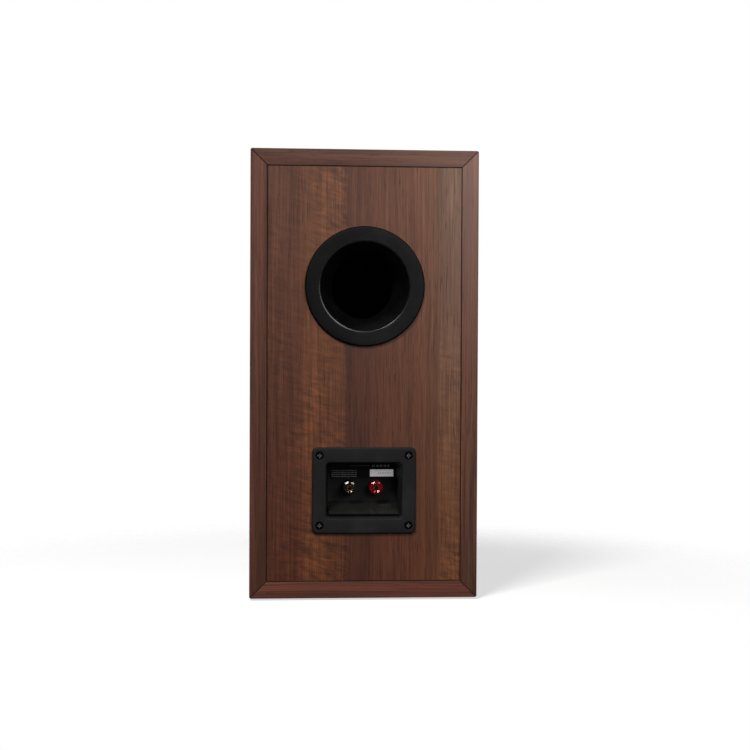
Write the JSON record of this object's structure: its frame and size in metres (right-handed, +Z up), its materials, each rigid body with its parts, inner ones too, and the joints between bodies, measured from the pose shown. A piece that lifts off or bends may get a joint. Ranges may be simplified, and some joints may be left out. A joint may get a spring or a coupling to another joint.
{
  "type": "bookshelf speaker",
  "caption": "Two-way ported speaker cabinet: cone woofer and dome tweeter in front, flared port and recessed cup with two screw-cap binding posts behind.",
  "frame": {"origin": "under the middle of the cabinet, on the surface that its feet stand on", "axes": "+Z up, -Y to the front with the drivers, +Y to the rear with the port and terminals, +X to the right as seen from the front"},
  "size_m": [0.216, 0.276, 0.426],
  "materials": {
    "walnut_side": "satin lacquered walnut veneer",
    "walnut_end": "satin lacquered walnut veneer",
    "walnut_back": "satin lacquered walnut veneer",
    "baffle_paint": "satin black paint on fibreboard",
    "fibreboard": "raw fibreboard",
    "pine": "raw softwood",
    "port_plastic": "fine textured moulding",
    "cup_plastic": "textured flange, glossy well",
    "print_film": "printed film",
    "sticker_paper": "white sticker",
    "foam_gasket": "closed-cell foam",
    "rubber_black": "moulded rubber",
    "black_screw": "black zinc",
    "gold_plate": "gold plated",
    "zinc_steel": "zinc plated",
    "cap_black": "tinted translucent moulding",
    "cap_red": "tinted translucent moulding",
    "insulator_white": "nylon",
    "cast_alloy": "black powder coated casting",
    "trim_black": "satin moulding",
    "cone_poly": "woven-look polypropylene",
    "dust_cap": "gloss moulding",
    "coil_former": "thin foil",
    "copper": "enamelled copper wire",
    "spider_cloth": "impregnated cloth",
    "ferrite": "sintered ferrite",
    "plate_steel": "zinc plated",
    "faceplate_black": "satin black coated casting",
    "silk": "doped silk",
    "terminal_board": "phenolic board",
    "tin_tab": "tinned",
    "circuit_board": "solder masked laminate",
    "film_capacitor": "wrapped film",
    "cement": "cement case",
    "wire_red": "insulated wire",
    "wire_black": "insulated wire",
    "wadding": "polyester wadding"
  },
  "bodies": {
    "cabinet": {"left_side_panel": "walnut_side", "right_side_panel": "walnut_side", "top_panel": "walnut_end", "bottom_panel": "walnut_end", "rear_panel": "walnut_back", "front_baffle": "baffle_paint", "window_brace": "fibreboard", "corner_blocks": "pine", "port_tube": "port_plastic", "port_inner_flare": "port_plastic", "terminal_cup": "cup_plastic", "terminal_cup_gasket": "foam_gasket", "terminal_cup_screws": "black_screw", "terminal_label": "print_film", "serial_sticker": "sticker_paper", "black_post_base": "cap_black", "black_post_stud": "gold_plate", "red_post_base": "cap_red", "red_post_stud": "gold_plate", "post_washers": "insulator_white", "solder_lugs": "tin_tab", "post_nuts": "zinc_steel", "woofer_frame": "cast_alloy", "woofer_gasket": "foam_gasket", "woofer_trim_ring": "trim_black", "woofer_surround": "rubber_black", "woofer_spider": "spider_cloth", "woofer_top_plate": "plate_steel", "woofer_magnet": "ferrite", "woofer_yoke": "plate_steel", "woofer_screws": "black_screw", "woofer_terminal_block": "terminal_board", "driver_tabs": "tin_tab", "tweeter_faceplate": "faceplate_black", "tweeter_gasket": "foam_gasket", "tweeter_surround": "silk", "tweeter_top_plate": "plate_steel", "tweeter_magnet": "ferrite", "tweeter_yoke": "plate_steel", "tweeter_screws": "black_screw", "crossover_board": "circuit_board", "crossover_standoffs": "insulator_white", "crossover_screws": "zinc_steel", "crossover_coils": "copper", "crossover_capacitors": "film_capacitor", "crossover_resistors": "cement", "leads_black": "wire_black", "leads_red": "wire_red", "acoustic_wadding": "wadding", "rubber_feet": "rubber_black", "grille_sockets": "rubber_black"},
    "black_sleeve": {"black_post_sleeve": "gold_plate"},
    "black_cap": {"black_post_cap": "cap_black"},
    "red_sleeve": {"red_post_sleeve": "gold_plate"},
    "red_cap": {"red_post_cap": "cap_red"},
    "woofer_motor_moving": {"woofer_cone": "cone_poly", "woofer_dust_cap": "dust_cap", "voice_coil_former": "coil_former", "voice_coil": "copper"},
    "tweeter_moving": {"tweeter_dome": "silk"}
  },
  "joints": [
    {"name": "black_cap_travel", "type": "slide", "parent": "cabinet", "child": "black_sleeve", "axis": [0, 1, 0], "range_m": [0, 0.004]},
    {"name": "black_cap_turn", "type": "hinge", "parent": "black_sleeve", "child": "black_cap", "pos_m": [0.0127, 0.118, 0.1054], "axis": [0, 1, 0], "range_deg": [0, 1800]},
    {"name": "red_cap_travel", "type": "slide", "parent": "cabinet", "child": "red_sleeve", "axis": [0, 1, 0], "range_m": [0, 0.004]},
    {"name": "red_cap_turn", "type": "hinge", "parent": "red_sleeve", "child": "red_cap", "pos_m": [-0.0127, 0.118, 0.1054], "axis": [0, 1, 0], "range_deg": [0, 1800]},
    {"name": "woofer_travel", "type": "slide", "parent": "cabinet", "child": "woofer_motor_moving", "axis": [0, -1, 0], "range_m": [-0.004, 0.004], "stiffness_N_per_m": 1000, "deforming": ["woofer_surround", "woofer_spider"]},
    {"name": "tweeter_travel", "type": "slide", "parent": "cabinet", "child": "tweeter_moving", "axis": [0, -1, 0], "range_m": [-0.0003, 0.0003], "stiffness_N_per_m": 60, "deforming": ["tweeter_surround"]}
  ],
  "couplings": [
    {"joint": "black_cap_turn", "follows": "black_cap_travel", "rad_per_m": 7853.9},
    {"joint": "red_cap_turn", "follows": "red_cap_travel", "rad_per_m": 7853.9}
  ]
}
